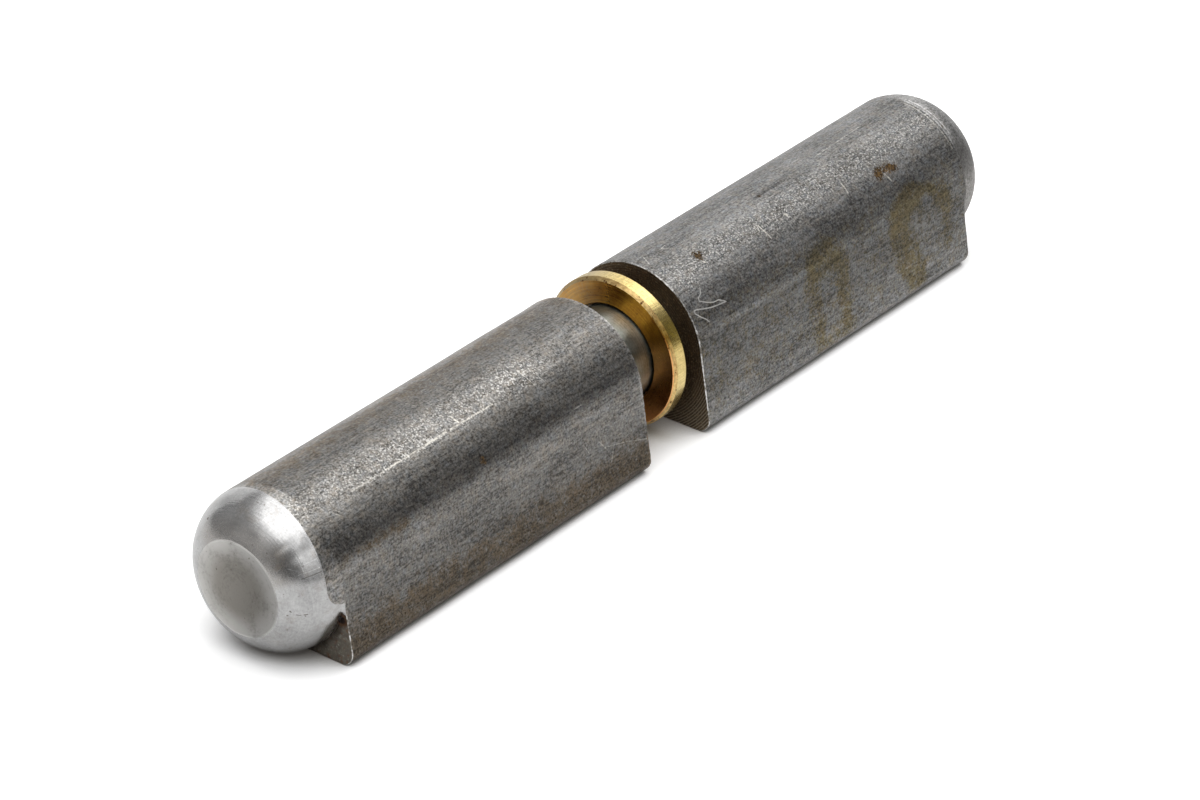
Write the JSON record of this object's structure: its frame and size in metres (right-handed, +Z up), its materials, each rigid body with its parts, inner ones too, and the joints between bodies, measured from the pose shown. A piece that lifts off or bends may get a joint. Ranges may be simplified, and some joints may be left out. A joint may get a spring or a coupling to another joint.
{
  "type": "weld-on barrel hinge",
  "caption": "Weld-on barrel hinge of teardrop steel bar, with a steel pin and a brass washer; its leaves turn about the pin and lift off it.",
  "frame": {"origin": "on the ground, below the middle of the whole hinge as drawn apart", "axes": "+X along the hinge axis from the near leaf to the far one, +Z up, both noses towards -Y"},
  "size_m": [0.1078, 0.017, 0.016],
  "materials": {
    "barrel_steel": "drawn mild steel with mill scale, turned bright at its outer end",
    "pin_steel": "ground, satin",
    "washer_brass": "turned, lightly tarnished"
  },
  "bodies": {
    "far_leaf": {"far_barrel": "barrel_steel"},
    "pin": {"pin": "pin_steel"},
    "washer": {"washer": "washer_brass"},
    "near_leaf": {"near_barrel": "barrel_steel"}
  },
  "joints": [
    {"name": "pin_turn", "type": "hinge", "parent": "far_leaf", "child": "pin", "pos_m": [0, 0.00049, 0.008], "axis": [1, 0, 0], "continuous": true},
    {"name": "washer_slide", "type": "slide", "parent": "pin", "child": "washer", "axis": [-1, 0, 0], "range_m": [-0.00208, 0.041]},
    {"name": "lift_off", "type": "slide", "parent": "washer", "child": "near_leaf", "axis": [-1, 0, 0], "range_m": [-0.00503, 0.034]}
  ]
}
